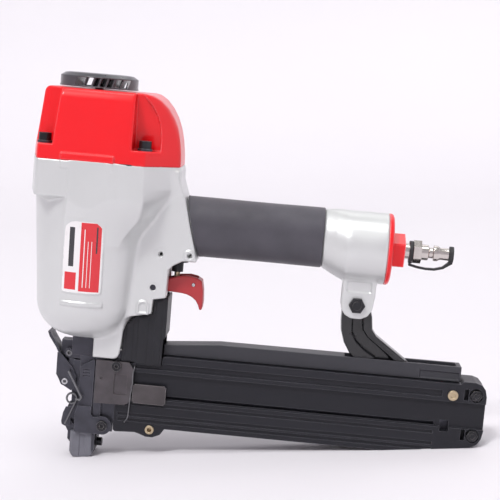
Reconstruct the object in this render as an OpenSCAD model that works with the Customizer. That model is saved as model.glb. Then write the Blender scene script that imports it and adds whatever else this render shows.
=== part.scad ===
// Pneumatic flooring stapler, drawn at real size in millimetres.
// Origin: on the driver's axis, in the plane of the nose pad's contact face.
// +Z runs up along the driver, +X runs back along the magazine and handle.

/* [Heights above the nose face] */
// Tip of the fixed nose
tip_z = 8.5; // [8.5:0.25:9.5]
// Floor of the staple channel
channel_z = 28; // [27.5:0.5:28]
// Roof of the staple channel
roof_z = 71.8; // [71.6:0.1:72]
// Top of the driver guide
guide_z = 73; // [72.8:0.1:73.1]
// Underside of the barrel's bowl
bowl_z = 87; // [87:0.25:88]
// Floor of the cylinder chamber
chamber_z = 95; // [94.5:0.5:95]
// Bottom of the flange that carries the cap
flange_z = 187; // [186:1:189]
// Joint between the housing and the cap
seam_z = 211; // [210.5:0.5:211]
// Top of the cap
cap_z = 260.5; // [260:0.5:262]

/* [Barrel and head] */
// Radius of the barrel below its flange
barrel_r = 41.2; // [41:0.1:41.4]
// Radius of the barrel just above its bowl
barrel_low_r = 36; // [35.5:0.5:36.5]
// Radius of the cylinder chamber
chamber_r = 35; // [34.8:0.1:35.2]
// Corner radius of the head's plan outline
head_corner_r = 8; // [7.5:0.5:8]
// Bore of the cylinder sleeve
sleeve_r = 22.5; // [22.3:0.1:22.6]
// Wall of the cylinder sleeve
sleeve_wall = 2.5; // [2.3:0.1:2.7]
// Height of the sleeve's top edge
sleeve_top_z = 205; // [204.6:0.1:205]
// Bore for the head valve in the cap
valve_bore_r = 30.2; // [30.2:0.1:30.4]
// Radius of the exhaust deflector
deflector_r = 27.3; // [26:0.1:27.5]
// Distance of the exhaust port in front of the driver's axis
exhaust_offset = 2.5; // [2:0.5:3]

/* [Drive] */
// Stroke of the piston and driver blade
stroke = 63; // [62:0.5:63]
// Width of the driver blade
blade_w = 11; // [10.8:0.1:11]
// Thickness of the driver blade
blade_t = 1.6; // [1.5:0.1:1.6]
// Tip of the blade at rest
blade_z = 72.5; // [72.3:0.1:72.8]
// Underside of the piston at rest
piston_z = 184; // [184:0.5:184.5]

/* [Handle] */
// Height of the handle's centre
handle_z = 170.4; // [170:0.1:171]
// Radius of the grip's top and bottom curves
grip_r = 18; // [17.5:0.1:18.2]
// Half the straight part of the grip's sides
grip_flat = 3.1; // [2.9:0.1:3.3]
// Thickness of the rubber grip
grip_wall = 2.4; // [2:0.1:2.6]
// Rear end of the rubber grip
grip_end_x = 161.5; // [160:0.5:162]
// Height of the bell's axis and the air plug
bell_z = 166.3; // [166:0.1:166.6]
// Radius of the bell at the handle's end
bell_r = 24.9; // [24.6:0.1:25.2]
// Rear face of the bell
bell_end_x = 205.7; // [205:0.1:206]

/* [Nose and contact] */
// Travel of the contact arm
contact_travel = 7.5; // [6:0.5:7.5]
// Half width of the nose tip
tip_w = 7.5; // [7.4:0.1:7.6]
// Half width across the guide's cheeks
cheek_w = 9.5; // [9.4:0.1:9.5]
// Half width of the staple channel
channel_w = 6.2; // [6.1:0.05:6.2]
// Height of the nose door's hinge
hinge_z = 23.2; // [23:0.1:23.4]
// Distance of the nose door's hinge in front of the driver
hinge_x = 7.4; // [7.2:0.1:7.4]
// Height of the nose pad
pad_h = 18.5; // [18:0.25:18.5]

/* [Magazine] */
// Half width of the magazine
mag_w = 12; // [11.9:0.1:12]
// Rear end of the magazine
mag_end_x = 284.4; // [284:0.2:285]
// Top of the magazine shells
mag_top_z = 78; // [77.8:0.1:78]
// Half width of the staple rail
rail_w = 3.6; // [3.5:0.1:3.6]
// Top of the staple rail
rail_z = 69.4; // [69:0.1:69.4]
// Slope of the foot under the rear of the magazine, in degrees
foot_slope = 6.97; // [6.8:0.01:7.1]
// Travel of the follower
follower_travel = 185; // [170:1:186]

/* [Trigger] */
// Distance of the trigger's pivot behind the driver
pivot_x = 47; // [46.8:0.1:47.1]
// Height of the trigger's pivot
pivot_z = 127.2; // [127:0.1:127.4]
// Half width of the trigger
trigger_w = 6.5; // [6.3:0.1:6.6]
// Distance of the valve stem behind the driver
stem_x = 61.5; // [61.3:0.1:61.6]

/* [Hidden] */
$fn = 64;

// Running gap between a pin and its hole
pin_gap = 0.05;
// Running gap between flat faces that slide
slide_gap = 0.3;
// How far a cut runs past the faces that it opens
past = 1;
// Places of the cap screws
screw_front_x = -32;
screw_rear_x = 36;
screw_y = 30;
screw_seat_z = 221.5;
screw_head_r = 4.25;
gasket_t = 1;
exhaust_x = -exhaust_offset;
chamber_low_r = 23;
chamber_mid_r = 31;
blade_slot_x = blade_t / 2 + slide_gap;
blade_slot_y = blade_w / 2 + slide_gap;
core_r = grip_r - grip_wall;
grip_start_x = 64.3;
plug_x = 218.3;
pad_back_x = 11.4;
arm_back_x = 12.9;
pad_bolt_z = 9.5;
arm_in = 9.9;
arm_out = 11.9;
plate_in = 12.2;
plate_out = 14;
lever_pin_x = 74;
lever_pin_z = 129.7;
front_pin_x = -9.5;
front_pin_z = 73.7;
nose_pin_r = 2.2;
latch_x = -10.9;
latch_z = 53.7;
bail_x = -7.5;
bail_z = 61.6;
bail_y = 15;
foot_bolt_x = 18.1;
foot_bolt_z = 25.1;
neck_z = 86.2;
guide_bolt_x = 25.4;
guide_bolt_z = 68.7;
lobe_x = 51.5;
lobe_z = 24.8;
rivet_x = 260.9;
rivet_z = 69.8;
end_bolt_x = 277;
end_bolt_zs = [42.3, 71];
bracket_bolt_x = 188.5;
bracket_bolt_z = 126.8;
foot_top_z = 84.9;
foot_screw_xs = [238, 254];

// ---- Helpers ----

// Box between two corners
module block(x0, x1, y0, y1, z0, z1) {
    translate([x0, y0, z0]) cube([x1 - x0, y1 - y0, z1 - z0]);
}

// Upright rod
module z_rod(x, y, z0, z1, r) {
    translate([x, y, z0]) cylinder(r = r, h = z1 - z0);
}

// Rod across the tool
module y_rod(x, z, y0, y1, r, sides = 0) {
    translate([x, y0, z]) rotate([-90, 0, 0]) cylinder(r = r, h = y1 - y0, $fn = sides > 0 ? sides : $fn);
}

// Rod along the tool, with an end radius of its own
module x_rod(x0, x1, z, r, end_r = 0) {
    translate([x0, 0, z]) rotate([0, 90, 0]) cylinder(r1 = r, r2 = end_r > 0 ? end_r : r, h = x1 - x0);
}

// Outline in the XZ plane, given thickness across the tool
module side_plate(y0, y1) {
    translate([0, y1, 0]) rotate([90, 0, 0]) linear_extrude(y1 - y0) children();
}

module both_sides() {
    children();
    mirror([0, 1, 0]) children();
}

// Straight wire with round ends
module wire(a, b, r) {
    d = b - a;
    translate(a) rotate([0, acos(d.z / norm(d)), atan2(d.y, d.x)]) cylinder(r = r, h = norm(d), $fn = 24);
    for (end = [a, b]) translate(end) sphere(1.05 * r, $fn = 24);
}

function coil_point(turn, around, coil_r, wire_r, pitch) = [
    (coil_r + wire_r * cos(around)) * cos(turn),
    (coil_r + wire_r * cos(around)) * sin(turn),
    pitch * turn / 360 + wire_r * sin(around)
];

// Helical spring standing on the XY plane
module coil_spring(coil_r, wire_r, length, turns, steps = 18, sides = 6) {
    rings = turns * steps;
    pitch = (length - 2 * wire_r) / turns;
    points = [
        for (i = [0:rings]) for (j = [0:sides - 1])
            coil_point(360 * i / steps, 360 * j / sides, coil_r, wire_r, pitch)
    ];
    walls = [
        for (i = [0:rings - 1]) for (j = [0:sides - 1])
            let (k = (j + 1) % sides, a = i * sides, b = a + sides)
                each [[a + j, a + k, b + k], [a + j, b + k, b + j]]
    ];
    first = [for (j = [1:sides - 2]) [0, j + 1, j]];
    last = [for (j = [1:sides - 2]) [rings * sides, rings * sides + j, rings * sides + j + 1]];
    translate([0, 0, wire_r]) polyhedron(points, concat(first, walls, last));
}

module o_ring(ring_r, cord_r) {
    rotate_extrude() translate([ring_r, 0]) circle(cord_r, $fn = 32);
}

// Upright oval that the handle is built on
module oval(r, flat) {
    union() {
        for (s = [-1, 1]) translate([s * flat, 0]) circle(r);
        square([2 * flat, 2 * r], center = true);
    }
}

module oval_bar(x0, x1, r, flat) {
    translate([x0, 0, handle_z]) rotate([0, 90, 0]) linear_extrude(x1 - x0) oval(r, flat);
}

// ---- Housing ----

// Plan outline of the head, square in front and narrower behind
module head_plan(grow) {
    offset(r = head_corner_r + grow, $fn = 48) polygon([
        [-36, -4], [-30.8, -26], [-27.5, -33], [26, -33], [32.5, -29.5], [52, -11],
        [52, 11], [32.5, 29.5], [26, 33], [-27.5, 33], [-30.8, 26], [-36, 4]
    ]);
}

module barrel() {
    rotate_extrude($fn = 96) polygon([
        [0, bowl_z], [11, bowl_z], [17, bowl_z + 1.2], [22.5, bowl_z + 3.8], [27.5, bowl_z + 8],
        [31.5, bowl_z + 13.5], [34.5, bowl_z + 20],
        [barrel_low_r, bowl_z + 26], [barrel_r, flange_z], [barrel_r, seam_z - past], [0, seam_z - past]
    ]);
}

module chamber() {
    rotate_extrude($fn = 96) polygon([
        [0, chamber_z], [chamber_low_r, chamber_z], [27, 104], [chamber_mid_r, 113], [chamber_mid_r, 140],
        [chamber_r, 150], [chamber_r, seam_z + past], [0, seam_z + past]
    ]);
}

// Casting between the barrel and the handle
module handle_root() {
    side_plate(-18, 18) polygon([
        [20, 118], [47.8, 118.6], [56.5, 120.4], [56.5, 141], [60, 143.5], [66, 147], [76, 147],
        [76, 149], [75.3, 149.2], [64, 191.2], [60, 194], [60, flange_z + 2], [20, flange_z + 2]
    ]);
    side_plate(-14, 14) polygon([[15, 104.5], [29, 104.5], [47.2, 108.3], [47.8, 120], [15, 120]]);
}

module bell() {
    hull() {
        oval_bar(grip_end_x + 0.2, grip_end_x + 1.5, grip_r - 0.4, grip_flat, $fn = 48);
        x_rod(178, 179, bell_z, bell_r, $fn = 48);
    }
    x_rod(178.5, bell_end_x, bell_z, bell_r);
}

module bracket_lug() {
    difference() {
        union() {
            block(178, 201, -12, 12, 124, 150);
            y_rod(bracket_bolt_x, bracket_bolt_z, -12, 12, 9.8);
            block(178.7, 200, -12, 12, 118, 128);
        }
        block(170, 210, -6.7, 6.7, 110, 139);
    }
}

module housing_pins_cut() {
    y_rod(pivot_x, pivot_z, -30, 30, 2 + pin_gap);
    y_rod(50.7, 150.9, -30, 30, 1.5 + pin_gap);
    y_rod(70.7, 151.4, -30, 30, 1.5 + pin_gap);
    y_rod(bracket_bolt_x, bracket_bolt_z, -20, 20, 3 + pin_gap);
}

module body_housing() {
    color("silver") difference() {
        union() {
            barrel();
            translate([0, 0, flange_z]) linear_extrude(seam_z - flange_z) head_plan(0);
            handle_root();
            oval_bar(50, grip_end_x + 2, core_r, grip_flat);
            bell();
            bracket_lug();
            block(-7.7, 8, -9, 9, neck_z + 0.2, bowl_z + 5);
            both_sides() side_plate(13.5, 16.5) polygon([
                [8, 74], [23.6, 74], [26, 75], [27, 77.4], [27, 104], [8, 104]
            ]);
            both_sides() block(-19, 20, 40, 41.9, seam_z - 6, seam_z - 0.5);
            both_sides() y_rod(70.5, 151.4, 17, 18.8, 3.6);
        }
        chamber();
        block(-blade_slot_x, blade_slot_x, -blade_slot_y, blade_slot_y, 60, 110);
        x_rod(42, bell_end_x + past, handle_z, 11);
        x_rod(196, bell_end_x + past, bell_z, 21.2);
        block(38, 60, -7.5, 7.5, 100, 141);
        z_rod(stem_x, 0, 135, 166, 7.5);
        housing_pins_cut();
        for (x = [screw_front_x, screw_rear_x]) for (s = [-1, 1]) z_rod(x, s * screw_y, 193, 220, 3 + pin_gap);
    }
}

module plate_cone(r) {
    rotate_extrude($fn = 96) polygon([
        [0, bowl_z + 26], [barrel_low_r + r, bowl_z + 26], [barrel_r + r, flange_z], [0, flange_z]
    ]);
}

module name_plate() {
    color("whitesmoke") intersection() {
        difference() {
            plate_cone(0.6);
            plate_cone(0.05);
        }
        block(-13.3, 13.3, -45, -20, 121.9, 171.8);
    }
}

// ---- Head ----

module cap_gasket() {
    color("dimgray") difference() {
        translate([0, 0, seam_z]) linear_extrude(gasket_t) head_plan(-0.8);
        z_rod(0, 0, seam_z - past, seam_z + 3, chamber_r);
        for (x = [screw_front_x, screw_rear_x]) for (s = [-1, 1]) z_rod(x, s * screw_y, 205, 220, 3.4);
    }
}

// Plan of the notches that open the cap's corners for the screws
module screw_notches() {
    offset(r = 6, $fn = 48) for (s = [-1, 1]) {
        polygon([[-60, s * 28.5], [-32.5, s * 28.5], [-32.5, s * 60], [-60, s * 60]]);
        polygon([[34.5, s * 28.5], [37.5, s * 28.5], [37.5, s * 60], [34.5, s * 60]]);
    }
}

module cap_layer(z, grow) {
    translate([0, 0, z - 0.02]) linear_extrude(0.02) head_plan(grow, $fn = 32);
}

// Side outline of the cap
module cap_profile() {
    polygon([
        [-45, seam_z], [61, seam_z], [60, 222], [57.6, 233], [54, 243], [49, 251], [43, 257], [38, cap_z],
        [-34, cap_z], [-37.5, cap_z - 2.5], [-39.5, 246], [-42, 230], [-44, 222]
    ]);
}

module cylinder_cap() {
    bottom = seam_z + gasket_t;
    color("red") difference() {
        intersection() {
            hull() {
                cap_layer(bottom + 0.02, 0);
                cap_layer(224, -0.3);
                cap_layer(cap_z, -6);
            }
            side_plate(-50, 50) cap_profile();
        }
        z_rod(0, 0, bottom - past, 246, valve_bore_r);
        z_rod(exhaust_x, 0, 240, cap_z + past, 9);
        for (x = [screw_front_x, screw_rear_x]) for (s = [-1, 1]) z_rod(x, s * screw_y, 205, 230, 3.4);
        translate([0, 0, screw_seat_z]) linear_extrude(cap_z + past - screw_seat_z) screw_notches();
    }
}

module cap_screws() {
    color("#3a3a40") for (x = [screw_front_x, screw_rear_x]) for (s = [-1, 1]) difference() {
        union() {
            z_rod(x, s * screw_y, screw_seat_z + 1.5, screw_seat_z + 6.7, screw_head_r);
            z_rod(x, s * screw_y, 194, screw_seat_z + 2, 3);
        }
        z_rod(x, s * screw_y, screw_seat_z + 4, screw_seat_z + 9, 2.3, $fn = 6);
    }
}

module cap_washers() {
    color("gray") for (x = [screw_front_x, screw_rear_x]) for (s = [-1, 1]) difference() {
        z_rod(x, s * screw_y, screw_seat_z, screw_seat_z + 1.5, screw_head_r + 0.75);
        z_rod(x, s * screw_y, screw_seat_z - past, screw_seat_z + 3, 3.1);
    }
}

module exhaust_deflector() {
    base = cap_z + 0.1;
    window_h = 4.6;
    color("#2b2b2e") translate([exhaust_x, 0, 0]) difference() {
        union() {
            rotate_extrude() polygon([
                [0, base + 6], [24.6, base + 6], [24.6, base], [deflector_r, base], [deflector_r - 0.6, base + 5],
                [deflector_r - 2.4, base + 7.4], [21, base + 9.6], [0, base + 9.6]
            ]);
            z_rod(0, 0, base, base + 8, 12.5);
        }
        z_rod(0, 0, base - past, base + 5, 10);
        z_rod(0, 0, base - past, base + 12, 3.1);
        z_rod(0, 0, base + 6.4, base + 12, 7);
        for (side = [-1, 1]) for (i = [-6:6]) rotate([0, 0, side * 90 + i * 8.5])
            block(20, deflector_r + past, -1.35, 1.35, base + 0.8, base + 0.8 + window_h);
        for (a = [30, 150, 210, 330]) rotate([0, 0, a]) block(9, 14, -3, 3, base - past, base + 4);
    }
}

module deflector_screw() {
    base = cap_z + 0.1;
    color("#3a3a40") difference() {
        union() {
            z_rod(exhaust_x, 0, base + 6.5, base + 9.2, 5.5);
            z_rod(exhaust_x, 0, base - 8, base + 7, 3);
            z_rod(exhaust_x, 0, base - 12, base - 8, 3);
        }
        z_rod(exhaust_x, 0, base + 7.4, base + 12, 2.3, $fn = 6);
    }
}

module head_valve() {
    rest = sleeve_top_z + 0.4;
    color("#d8d8d0") rotate_extrude() difference() {
        polygon([
            [12.5, rest], [27, rest], [valve_bore_r - 0.4, rest + 7], [valve_bore_r - 0.4, rest + 21],
            [21, rest + 21], [21, rest + 12], [16, rest + 12], [16, rest + 30], [12.5, rest + 30]
        ]);
        translate([valve_bore_r - 2.4, rest + 13]) square([4, 2.4]);
    }
}

module head_valve_seal() {
    color("#202020") translate([0, 0, sleeve_top_z + 14.6]) o_ring(valve_bore_r - 1.35, 1);
}

module head_valve_spring() {
    color("gray") translate([0, 0, sleeve_top_z + 21.7]) coil_spring(25, 1.1, 246 - sleeve_top_z - 22, 4);
}

// ---- Drive ----

module cylinder_sleeve() {
    outer = sleeve_r + sleeve_wall;
    color("lightgray") difference() {
        rotate_extrude() difference() {
            polygon([
                [sleeve_r, 112], [outer, 112], [outer, 126], [chamber_mid_r - 0.2, 126],
                [chamber_mid_r - 0.2, 132], [outer, 132], [outer, 190], [chamber_r - 0.2, 190],
                [chamber_r - 0.2, 198], [outer, 198], [outer, sleeve_top_z], [sleeve_r, sleeve_top_z]
            ]);
            translate([chamber_mid_r - 2.2, 127.9]) square([4, 2.2]);
            translate([chamber_r - 2.2, 192.9]) square([4, 2.2]);
        }
        for (a = [0:45:315]) rotate([0, 0, a]) x_rod(20, outer + past, 123, 1.4);
        for (a = [22.5:45:337.5]) rotate([0, 0, a]) x_rod(20, outer + past, 150, 1.8);
    }
}

module sleeve_seals() {
    color("#202020") {
        translate([0, 0, 129]) o_ring(chamber_mid_r - 1.1, 0.98);
        translate([0, 0, 194]) o_ring(chamber_r - 1.1, 0.98);
    }
}

module piston() {
    r = sleeve_r - 0.3;
    slot_x = blade_t / 2 + 0.02;
    slot_y = blade_w / 2 + 0.02;
    color("silver") difference() {
        union() {
            rotate_extrude() difference() {
                polygon([[0, piston_z], [r, piston_z], [r, piston_z + 19], [8, piston_z + 19], [0, piston_z + 16]]);
                translate([r - 1.9, piston_z + 9]) square([4, 2]);
            }
            block(-5, 5, -8, 8, piston_z - 8, piston_z + 1);
        }
        block(-slot_x, slot_x, -slot_y, slot_y, piston_z - 10, piston_z + 4);
        x_rod(-10, 10, piston_z - 4, 1.5 + pin_gap);
    }
}

module piston_seal() {
    color("#202020") translate([0, 0, piston_z + 10]) o_ring(sleeve_r - 1.22, 0.9);
}

module driver_blade() {
    color("lightsteelblue") difference() {
        block(-blade_t / 2, blade_t / 2, -blade_w / 2, blade_w / 2, blade_z, piston_z + 3.9);
        x_rod(-5, 5, piston_z - 4, 1.5 + pin_gap);
    }
}

module driver_pin() {
    color("gray") x_rod(-4.9, 4.9, piston_z - 4, 1.5);
}

module bumper() {
    top = piston_z - stroke - 0.5;
    color("#303030") difference() {
        rotate_extrude() polygon([
            [0, chamber_z + 0.3], [sleeve_r - 0.4, chamber_z + 0.3], [sleeve_r - 0.4, top - 2],
            [sleeve_r - 2.4, top], [0, top]
        ]);
        block(-blade_slot_x, blade_slot_x, -blade_slot_y, blade_slot_y, 90, 130);
        block(-6, 6, -9, 9, 108, 130);
    }
}

// ---- Trigger and its valve ----

module valve_body() {
    color("#26262a") difference() {
        union() {
            z_rod(stem_x, 0, 144.5, 165.8, 7.4);
            z_rod(stem_x, 0, 137.5, 145, 4);
        }
        z_rod(stem_x, 0, 130, 170, 2 + 0.3);
        z_rod(stem_x, 0, 150, 163, 4.6);
    }
}

module valve_stem() {
    color("#b8a060") union() {
        z_rod(stem_x, 0, 131.4, 160, 2);
        z_rod(stem_x, 0, 151, 153, 4.2);
    }
}

module valve_spring() {
    color("gray") translate([stem_x, 0, 153.1]) coil_spring(3.1, 0.4, 9.6, 4, steps = 12, sides = 5);
}

module trigger_outline() {
    polygon([
        [pivot_x + 0.5, pivot_z + 3.3], [57.2, 133], [64, 135.2], [71, 135.8], [76, 135], [79.7, 133],
        [81, 126], [81.6, 118], [81, 112.4], [79.3, 112.4], [78.2, 116.4], [75.8, 119.6],
        [72.2, 121.7], [66, 123], [60.8, 123.5], [pivot_x + 0.5, pivot_z - 3.3]
    ]);
}

module trigger() {
    wall = 2.3;
    color("firebrick") difference() {
        union() {
            side_plate(-trigger_w, trigger_w) trigger_outline();
            y_rod(pivot_x, pivot_z, -trigger_w + 0.05, trigger_w - 0.05, 3.6);
        }
        side_plate(-trigger_w + wall, trigger_w - wall) polygon([
            [40, 110], [57, 110], [57, 124.8], [76.8, 124.8], [76.8, 140], [40, 140]
        ]);
        y_rod(pivot_x, pivot_z, -10, 10, 2 + pin_gap);
        y_rod(lever_pin_x, lever_pin_z, -10, 10, 1.2 + pin_gap);
    }
}

module trigger_pin() {
    color("silver") y_rod(pivot_x, pivot_z, -17.2, 17.2, 2);
}

module trigger_spring() {
    y = -3.7;
    color("gray") union() {
        translate([pivot_x, -3.1, pivot_z]) rotate([-90, 0, 0]) coil_spring(2.75, 0.4, 6, 5, steps = 14, sides = 5);
        wire([pivot_x - 2.6, y, pivot_z + 1.2], [pivot_x + 2, y, 134.5], 0.4);
        wire([pivot_x + 2, y, 134.5], [57.5, y, 139.8], 0.4);
    }
}

module safety_lever() {
    color("dimgray") difference() {
        union() {
            side_plate(-2.6, 2.6) polygon([
                [50.9, 124.2], [50.9, 126.6], [lever_pin_x, lever_pin_z + 2.3], [lever_pin_x, lever_pin_z - 2.3],
                [56, 124.9]
            ]);
            y_rod(lever_pin_x, lever_pin_z, -3.8, 3.8, 2.3);
        }
        y_rod(lever_pin_x, lever_pin_z, -10, 10, 1.2 + pin_gap);
    }
}

module lever_pin() {
    color("silver") y_rod(lever_pin_x, lever_pin_z, -6.7, 6.7, 1.2);
}

module roll_pins() {
    color("gray") {
        y_rod(-hinge_x, hinge_z, -8, 8, 1.5);
        difference() {
            y_rod(front_pin_x, front_pin_z, -9.2, 9.2, nose_pin_r);
            y_rod(front_pin_x, front_pin_z, -10, 10, nose_pin_r / 2);
        }
        y_rod(50.7, 150.9, -15.5, 15.5, 1.5);
        both_sides() y_rod(70.7, 151.4, 8, 15.5, 1.5);
    }
}

// ---- Handle ----

module grip_sleeve() {
    color("#46444c") difference() {
        oval_bar(grip_start_x, grip_end_x, grip_r, grip_flat);
        oval_bar(grip_start_x - past, grip_end_x + past, core_r + 0.05, grip_flat);
        side_plate(-30, 30) polygon([[50, 140], [76.2, 140], [75.8, 149], [64.9, 191], [64.9, 200], [50, 200]]);
    }
}

module end_cap() {
    flat = 18;
    color("red") difference() {
        union() {
            translate([bell_end_x, 0, bell_z]) rotate([0, 90, 0]) rotate_extrude() polygon([
                [0, -8], [20.9, -8], [20.9, 0], [bell_r, 0], [bell_r, 1.6], [bell_r - 0.7, 2.8],
                [bell_r - 2.2, 3.5], [0, 3.5]
            ]);
            intersection() {
                translate([bell_end_x, 0, bell_z]) rotate([19, 0, 0])
                    block(3, plug_x - bell_end_x, -flat / 2, flat / 2, -flat / 2, flat / 2);
                x_rod(bell_end_x, plug_x, bell_z, 12.2);
            }
        }
        x_rod(190, 230, bell_z, 5.55);
        translate([bell_end_x - 4, 0, bell_z]) rotate([0, 90, 0]) rotate_extrude()
            translate([19.1, -1.1]) square([4, 2.2]);
    }
}

module end_cap_seal() {
    color("#202020") translate([bell_end_x - 4, 0, bell_z]) rotate([0, 90, 0]) o_ring(20.15, 0.98);
}

module air_plug() {
    color("#b9b4ad") difference() {
        union() {
            translate([206, 0, bell_z]) rotate([0, 90, 0]) rotate_extrude() polygon([
                [0, 0], [5.5, 0], [5.5, 18.3], [5.5, 28.5], [4.9, 29], [3.75, 29.4], [3.75, 31.8], [5.5, 32.4],
                [5.5, 35], [4.3, 37.2], [4.3, 43], [0, 43]
            ]);
            translate([224.3, 0, bell_z]) rotate([0, 90, 0]) cylinder(d = 14 / cos(30), h = 5.7, $fn = 6);
        }
        x_rod(200, 252, bell_z, 2.2);
    }
}

module dust_cap_ring() {
    color("#222226") difference() {
        union() {
            x_rod(221.5, 224.1, bell_z, 7.3);
            block(221.5, 224.1, -2, 2, bell_z - 8.2, bell_z - 6.5);
        }
        x_rod(220, 226, bell_z, 5.55);
    }
}

module dust_cap() {
    color("#222226") union() {
        x_rod(249.4, 252.2, bell_z, 5.7);
        y_rod(222.8, 157, -1.6, 1.6, 1);
        side_plate(-1.6, 1.6) polygon([
            [222, 157.7], [222, 156.2], [228, 154.9], [234, 154.2], [240, 154.3], [246, 155.9], [252.2, 160],
            [252.2, 164], [249.6, 164], [249.6, 161.2], [245.4, 157.4], [240, 155.8], [234, 155.7],
            [228, 156.4], [223.6, 157.5]
        ]);
    }
}

// ---- Nose ----

module driver_guide() {
    color("#55555c") difference() {
        union() {
            block(-7, 9.4, -tip_w, tip_w, tip_z, 19.6);
            block(-1, 9.4, -tip_w, tip_w, 19, channel_z + 1);
            block(-1, 34, -cheek_w, cheek_w, channel_z, guide_z);
            block(-7.6, 7.8, -8.8, 8.8, guide_z, neck_z);
            both_sides() block(15, 24.6, channel_w, cheek_w, 20, channel_z + 1);
            both_sides() y_rod(-hinge_x, hinge_z, 5.2, tip_w, 2.9);
            both_sides() side_plate(5.2, tip_w) polygon([
                [-hinge_x - 2.9, hinge_z], [-7, 17], [-3, 17], [-3, hinge_z - 0.6], [-hinge_x + 2.9, hinge_z]
            ]);
        }
        block(-blade_slot_x, blade_slot_x, -blade_slot_y, blade_slot_y, 0, 100);
        block(-2, 40, -channel_w, channel_w, channel_z, roof_z);
        block(-9, -blade_slot_x, -20, 20, 19.6 + 7, guide_z);
        y_rod(front_pin_x, front_pin_z, -10, 10, nose_pin_r + pin_gap);
        y_rod(-hinge_x, hinge_z, -10, 10, 1.5 + pin_gap);
        y_rod(foot_bolt_x, foot_bolt_z, -20, 20, 2 + pin_gap);
        y_rod(guide_bolt_x, guide_bolt_z, -20, 20, 2 + pin_gap);
        side_plate(-10, 10) polygon([[-7.2, 8], [-4, 8], [-7.2, 12]]);
    }
}

module front_block() {
    color("#45454c") difference() {
        union() {
            block(-15.7, -7.75, -5, 5, 72, 82.3);
            y_rod(front_pin_x, front_pin_z, -8, 8, 3.3);
            block(-9, -1.15, -8, 8, 70.4, guide_z);
        }
        block(-7.75, -2, -10, 10, guide_z, 80);
        y_rod(front_pin_x, front_pin_z, -10, 10, nose_pin_r + pin_gap);
    }
}

module nose_side_plates() {
    color("#4b4b55") both_sides() difference() {
        union() {
            side_plate(cheek_w, 12.5) polygon([[0, 27], [9.8, 27], [9.8, 71], [9, 71.6], [0, 66]]);
            side_plate(12.3, 14.5) polygon([
                [-1.6, 18.9], [18, 18.6], [18, 31.6], [11.3, 30.6], [9.5, 33], [9.5, 38], [0, 38], [-1.6, 33]
            ]);
            y_rod(foot_bolt_x, foot_bolt_z, 12.3, 14.5, 6.5);
            y_rod(1.8, 44.8, 12, 14, 1.4);
        }
        y_rod(foot_bolt_x, foot_bolt_z, 0, 20, 2 + pin_gap);
        for (i = [0:2]) block(2, 7, 11.6, 13, 59 + 2.2 * i, 60.1 + 2.2 * i);
    }
}

module guide_side_plates() {
    color("#5c5350") both_sides() difference() {
        union() {
            side_plate(plate_in, plate_out) polygon([
                [11, 41], [33, 41.4], [37, 45], [37, 68], [34, 72], [11, 72]
            ]);
            y_rod(guide_bolt_x, guide_bolt_z, cheek_w, plate_in + 0.5, 3.3);
        }
        y_rod(guide_bolt_x, guide_bolt_z, 0, 20, 2 + pin_gap);
        block(24.2, 33.4, plate_out - 1.1, 20, 48.4, 63);
        y_rod(15.4, 59.5, plate_out - 0.8, 20, 1.1);
    }
}

module button_head(x, z, y, r, h, hex_r) {
    difference() {
        y_rod(x, z, y, y + h, r);
        y_rod(x, z, y + h - 1.4, y + h + 1, hex_r, sides = 6);
    }
}

module nose_bolts() {
    color("#222226") both_sides() {
        union() {
            button_head(guide_bolt_x, guide_bolt_z, plate_out, 3.5, 2, 1.5);
            y_rod(guide_bolt_x, guide_bolt_z, channel_w + 0.2, plate_out + 0.5, 2);
        }
        union() {
            button_head(foot_bolt_x, foot_bolt_z, 14.5, 3.6, 2.4, 1.8);
            y_rod(foot_bolt_x, foot_bolt_z, channel_w + 0.3, 15, 2);
        }
    }
}

module nose_door() {
    color("#50505a") difference() {
        union() {
            block(-5.6, -blade_slot_x - 0.05, -9, 9, 27.2, 69.4);
            block(-5.6, -blade_slot_x - 0.05, -4.8, 4.8, hinge_z + 0.3, 28);
            side_plate(-4.8, 4.8) polygon([
                [-hinge_x - 2.9, hinge_z], [-5.6, 34], [-3, 34], [-3, hinge_z + 0.3], [-hinge_x + 2.7, hinge_z]
            ]);
            y_rod(-hinge_x, hinge_z, -4.8, 4.8, 2.9);
            y_rod(latch_x, latch_z, -4, 4, 3.6);
            side_plate(-4, 4) polygon([[latch_x, latch_z + 3.6], [-5, 57], [-5, 48], [latch_x, latch_z - 3.6]]);
            both_sides() side_plate(8.2, 9) polygon([
                [-5.5, 35], [-9.2, 35], [-11, 30.5], [-11.9, 24.4], [-11.4, 22], [-9, 20.9], [-5.4, 21.4]
            ]);
            block(-9, -5.5, -8.8, 8.8, 63.4, 70.1);
        }
        y_rod(-hinge_x, hinge_z, -8.1, 8.1, 1.5 + pin_gap);
        y_rod(latch_x, latch_z, -10, 10, nose_pin_r + pin_gap);
    }
}

module latch_lever() {
    color("#62626a") difference() {
        union() {
            both_sides() side_plate(9.4, 10.8) polygon([
                [-17.4, 74], [-17.2, 58], [-15.4, 55], [-13.6, 51.3], [latch_x, 50.1], [-6.2, 47.4],
                [-3.4, 50.5], [-3, 58], [-6, 64.2], [-13.6, 72.2], [-15.4, 74]
            ]);
            block(-17.4, -16, -10.8, 10.8, 58, 74);
            side_plate(-7, 7) polygon([
                [-17.4, 73], [-16, 73], [-17.6, 77.5], [-22.6, 85], [-23.6, 87.4], [-25.8, 87.6],
                [-24.4, 84], [-19.4, 76.8]
            ]);
        }
        y_rod(latch_x, latch_z, -15, 15, nose_pin_r + pin_gap);
        y_rod(bail_x, bail_z, -15, 15, 0.9 + pin_gap);
    }
}

module latch_pin() {
    color("silver") difference() {
        y_rod(latch_x, latch_z, -11.6, 11.6, nose_pin_r);
        y_rod(latch_x, latch_z, -12, 12, nose_pin_r / 2);
    }
}

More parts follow.
